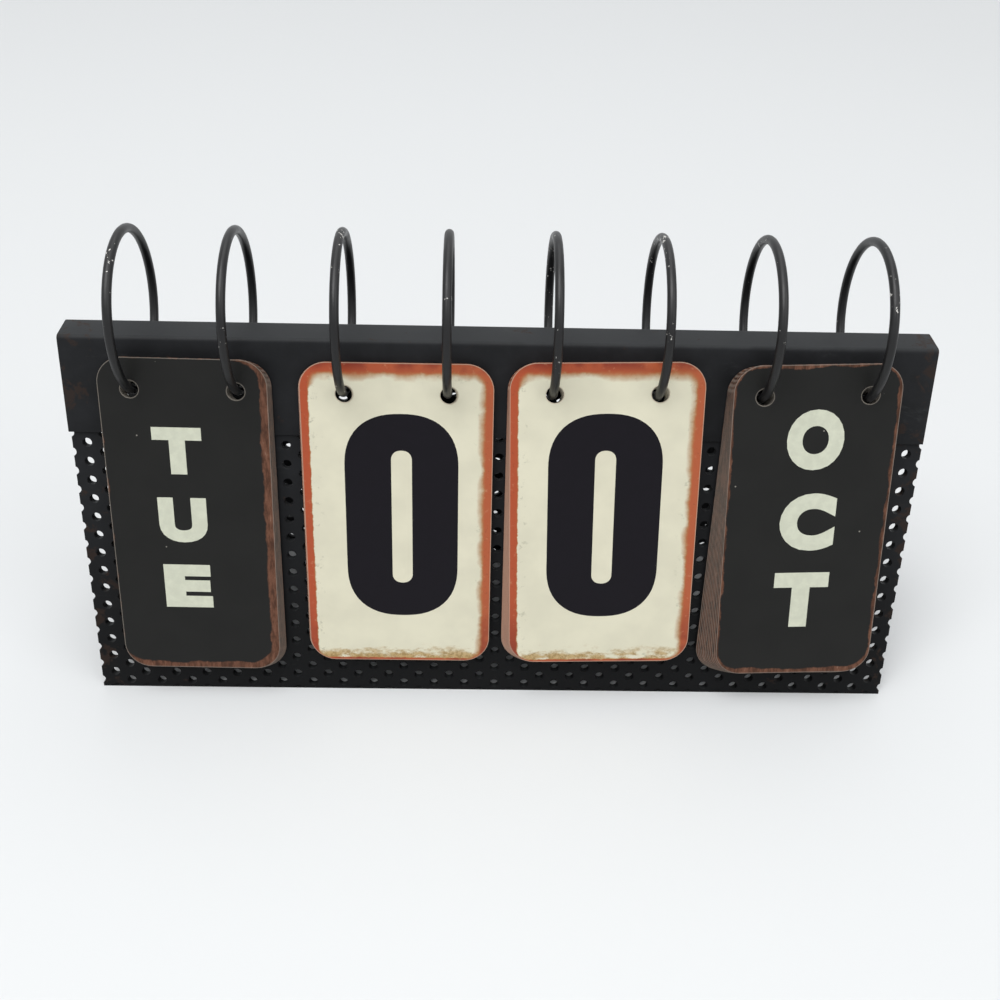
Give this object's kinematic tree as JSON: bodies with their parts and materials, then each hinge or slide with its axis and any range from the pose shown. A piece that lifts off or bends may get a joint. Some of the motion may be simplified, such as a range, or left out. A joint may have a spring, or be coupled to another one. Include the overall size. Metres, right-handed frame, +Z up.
{
  "type": "perpetual desk calendar",
  "caption": "Tent-shaped desk stand of perforated sheet steel whose cap carries packs of weekday, day number and month cards on wire rings, turned over by hand.",
  "frame": {"origin": "on the table, under the middle of the calendar's bounding box", "axes": "+X to the right along the stand as seen from the front, +Y to the back, +Z up"},
  "size_m": [0.2671, 0.0784, 0.1485],
  "materials": {
    "stand_black": "worn black paint on sheet steel, with small rust patches",
    "ring_wire": "black lacquered steel wire, chipped",
    "plate_card": "black lacquered tin plate with worn brown edges",
    "number_card": "cream lacquered tin plate with worn orange-red borders"
  },
  "bodies": {
    "stand": {"cap": "stand_black", "front_screen": "stand_black", "rear_screen": "stand_black"},
    "weekday_card_1": {"weekday_card_1": "plate_card"},
    "weekday_card_2": {"weekday_card_2": "plate_card"},
    "weekday_card_3": {"weekday_card_3": "plate_card"},
    "weekday_card_4": {"weekday_card_4": "plate_card"},
    "weekday_card_5": {"weekday_card_5": "plate_card"},
    "weekday_card_6": {"weekday_card_6": "plate_card"},
    "weekday_rings": {"ring_1": "ring_wire", "ring_2": "ring_wire"},
    "weekday_card_7": {"weekday_card_7": "plate_card"},
    "tens_card_1": {"tens_card_1": "number_card"},
    "tens_card_2": {"tens_card_2": "number_card"},
    "tens_card_3": {"tens_card_3": "number_card"},
    "tens_rings": {"ring_3": "ring_wire", "ring_4": "ring_wire"},
    "tens_card_4": {"tens_card_4": "number_card"},
    "ones_card_1": {"ones_card_1": "number_card"},
    "ones_card_2": {"ones_card_2": "number_card"},
    "ones_card_3": {"ones_card_3": "number_card"},
    "ones_card_4": {"ones_card_4": "number_card"},
    "ones_card_5": {"ones_card_5": "number_card"},
    "ones_card_6": {"ones_card_6": "number_card"},
    "ones_card_7": {"ones_card_7": "number_card"},
    "ones_card_8": {"ones_card_8": "number_card"},
    "ones_card_9": {"ones_card_9": "number_card"},
    "ones_rings": {"ring_5": "ring_wire", "ring_6": "ring_wire"},
    "ones_card_10": {"ones_card_10": "number_card"},
    "month_card_1": {"month_card_1": "plate_card"},
    "month_card_2": {"month_card_2": "plate_card"},
    "month_card_3": {"month_card_3": "plate_card"},
    "month_card_4": {"month_card_4": "plate_card"},
    "month_card_5": {"month_card_5": "plate_card"},
    "month_card_6": {"month_card_6": "plate_card"},
    "month_card_7": {"month_card_7": "plate_card"},
    "month_card_8": {"month_card_8": "plate_card"},
    "month_card_9": {"month_card_9": "plate_card"},
    "month_card_10": {"month_card_10": "plate_card"},
    "month_card_11": {"month_card_11": "plate_card"},
    "month_rings": {"ring_7": "ring_wire", "ring_8": "ring_wire"},
    "month_card_12": {"month_card_12": "plate_card"}
  },
  "joints": [
    {"name": "weekday_ring_turn", "type": "hinge", "parent": "weekday_card_6", "child": "weekday_rings", "pos_m": [0, 0.00522, 0.1231], "axis": [-1, 0, 0], "range_deg": [0, 268]},
    {"name": "tens_ring_turn", "type": "hinge", "parent": "tens_card_3", "child": "tens_rings", "pos_m": [0, 0.00522, 0.1231], "axis": [-1, 0, 0], "range_deg": [0, 272]},
    {"name": "ones_ring_turn", "type": "hinge", "parent": "ones_card_9", "child": "ones_rings", "pos_m": [0, 0.00522, 0.1231], "axis": [-1, 0, 0], "range_deg": [0, 266]},
    {"name": "month_ring_turn", "type": "hinge", "parent": "month_card_11", "child": "month_rings", "pos_m": [0, 0.00522, 0.1231], "axis": [-1, 0, 0], "range_deg": [0, 264]},
    {"name": "weekday_front_turnover", "type": "hinge", "parent": "weekday_rings", "child": "weekday_card_7", "pos_m": [0, -0.01102, 0.10529], "axis": [-1, 0, 0], "range_deg": [0, 64]},
    {"name": "tens_front_turnover", "type": "hinge", "parent": "tens_rings", "child": "tens_card_4", "pos_m": [0, -0.00963, 0.10412], "axis": [-1, 0, 0], "range_deg": [0, 60]},
    {"name": "ones_front_turnover", "type": "hinge", "parent": "ones_rings", "child": "ones_card_10", "pos_m": [0, -0.01236, 0.10662], "axis": [-1, 0, 0], "range_deg": [0, 66]},
    {"name": "month_front_turnover", "type": "hinge", "parent": "month_rings", "child": "month_card_12", "pos_m": [0, -0.01324, 0.1076], "axis": [-1, 0, 0], "range_deg": [0, 68]},
    {"name": "weekday_leaf_1", "type": "hinge", "parent": "stand", "child": "weekday_card_1", "pos_m": [0, 0.00522, 0.1231], "axis": [1, 0, 0], "range_deg": [-44, 0]},
    {"name": "weekday_leaf_2", "type": "hinge", "parent": "weekday_card_1", "child": "weekday_card_2", "pos_m": [0, 0.00522, 0.1231], "axis": [1, 0, 0], "range_deg": [-44, 0]},
    {"name": "weekday_leaf_3", "type": "hinge", "parent": "weekday_card_2", "child": "weekday_card_3", "pos_m": [0, 0.00522, 0.1231], "axis": [1, 0, 0], "range_deg": [-44, 0]},
    {"name": "weekday_leaf_4", "type": "hinge", "parent": "weekday_card_3", "child": "weekday_card_4", "pos_m": [0, 0.00522, 0.1231], "axis": [1, 0, 0], "range_deg": [-44, 0]},
    {"name": "weekday_leaf_5", "type": "hinge", "parent": "weekday_card_4", "child": "weekday_card_5", "pos_m": [0, 0.00522, 0.1231], "axis": [1, 0, 0], "range_deg": [-44, 0]},
    {"name": "weekday_leaf_6", "type": "hinge", "parent": "weekday_card_5", "child": "weekday_card_6", "pos_m": [0, 0.00522, 0.1231], "axis": [1, 0, 0], "range_deg": [-44, 0]},
    {"name": "tens_leaf_1", "type": "hinge", "parent": "stand", "child": "tens_card_1", "pos_m": [0, 0.00522, 0.1231], "axis": [1, 0, 0], "range_deg": [-90, 0]},
    {"name": "tens_leaf_2", "type": "hinge", "parent": "tens_card_1", "child": "tens_card_2", "pos_m": [0, 0.00522, 0.1231], "axis": [1, 0, 0], "range_deg": [-90, 0]},
    {"name": "tens_leaf_3", "type": "hinge", "parent": "tens_card_2", "child": "tens_card_3", "pos_m": [0, 0.00522, 0.1231], "axis": [1, 0, 0], "range_deg": [-90, 0]},
    {"name": "ones_leaf_1", "type": "hinge", "parent": "stand", "child": "ones_card_1", "pos_m": [0, 0.00522, 0.1231], "axis": [1, 0, 0], "range_deg": [-29, 0]},
    {"name": "ones_leaf_2", "type": "hinge", "parent": "ones_card_1", "child": "ones_card_2", "pos_m": [0, 0.00522, 0.1231], "axis": [1, 0, 0], "range_deg": [-29, 0]},
    {"name": "ones_leaf_3", "type": "hinge", "parent": "ones_card_2", "child": "ones_card_3", "pos_m": [0, 0.00522, 0.1231], "axis": [1, 0, 0], "range_deg": [-29, 0]},
    {"name": "ones_leaf_4", "type": "hinge", "parent": "ones_card_3", "child": "ones_card_4", "pos_m": [0, 0.00522, 0.1231], "axis": [1, 0, 0], "range_deg": [-29, 0]},
    {"name": "ones_leaf_5", "type": "hinge", "parent": "ones_card_4", "child": "ones_card_5", "pos_m": [0, 0.00522, 0.1231], "axis": [1, 0, 0], "range_deg": [-29, 0]},
    {"name": "ones_leaf_6", "type": "hinge", "parent": "ones_card_5", "child": "ones_card_6", "pos_m": [0, 0.00522, 0.1231], "axis": [1, 0, 0], "range_deg": [-29, 0]},
    {"name": "ones_leaf_7", "type": "hinge", "parent": "ones_card_6", "child": "ones_card_7", "pos_m": [0, 0.00522, 0.1231], "axis": [1, 0, 0], "range_deg": [-29, 0]},
    {"name": "ones_leaf_8", "type": "hinge", "parent": "ones_card_7", "child": "ones_card_8", "pos_m": [0, 0.00522, 0.1231], "axis": [1, 0, 0], "range_deg": [-29, 0]},
    {"name": "ones_leaf_9", "type": "hinge", "parent": "ones_card_8", "child": "ones_card_9", "pos_m": [0, 0.00522, 0.1231], "axis": [1, 0, 0], "range_deg": [-29, 0]},
    {"name": "month_leaf_1", "type": "hinge", "parent": "stand", "child": "month_card_1", "pos_m": [0, 0.00522, 0.1231], "axis": [1, 0, 0], "range_deg": [-24, 0]},
    {"name": "month_leaf_2", "type": "hinge", "parent": "month_card_1", "child": "month_card_2", "pos_m": [0, 0.00522, 0.1231], "axis": [1, 0, 0], "range_deg": [-24, 0]},
    {"name": "month_leaf_3", "type": "hinge", "parent": "month_card_2", "child": "month_card_3", "pos_m": [0, 0.00522, 0.1231], "axis": [1, 0, 0], "range_deg": [-24, 0]},
    {"name": "month_leaf_4", "type": "hinge", "parent": "month_card_3", "child": "month_card_4", "pos_m": [0, 0.00522, 0.1231], "axis": [1, 0, 0], "range_deg": [-24, 0]},
    {"name": "month_leaf_5", "type": "hinge", "parent": "month_card_4", "child": "month_card_5", "pos_m": [0, 0.00522, 0.1231], "axis": [1, 0, 0], "range_deg": [-24, 0]},
    {"name": "month_leaf_6", "type": "hinge", "parent": "month_card_5", "child": "month_card_6", "pos_m": [0, 0.00522, 0.1231], "axis": [1, 0, 0], "range_deg": [-24, 0]},
    {"name": "month_leaf_7", "type": "hinge", "parent": "month_card_6", "child": "month_card_7", "pos_m": [0, 0.00522, 0.1231], "axis": [1, 0, 0], "range_deg": [-24, 0]},
    {"name": "month_leaf_8", "type": "hinge", "parent": "month_card_7", "child": "month_card_8", "pos_m": [0, 0.00522, 0.1231], "axis": [1, 0, 0], "range_deg": [-24, 0]},
    {"name": "month_leaf_9", "type": "hinge", "parent": "month_card_8", "child": "month_card_9", "pos_m": [0, 0.00522, 0.1231], "axis": [1, 0, 0], "range_deg": [-24, 0]},
    {"name": "month_leaf_10", "type": "hinge", "parent": "month_card_9", "child": "month_card_10", "pos_m": [0, 0.00522, 0.1231], "axis": [1, 0, 0], "range_deg": [-24, 0]},
    {"name": "month_leaf_11", "type": "hinge", "parent": "month_card_10", "child": "month_card_11", "pos_m": [0, 0.00522, 0.1231], "axis": [1, 0, 0], "range_deg": [-24, 0]}
  ],
  "couplings": [
    {"joint": "weekday_front_turnover", "follows": "weekday_ring_turn", "ratio": 0.23881},
    {"joint": "tens_front_turnover", "follows": "tens_ring_turn", "ratio": 0.22059},
    {"joint": "ones_front_turnover", "follows": "ones_ring_turn", "ratio": 0.24812},
    {"joint": "month_front_turnover", "follows": "month_ring_turn", "ratio": 0.25758}
  ]
}
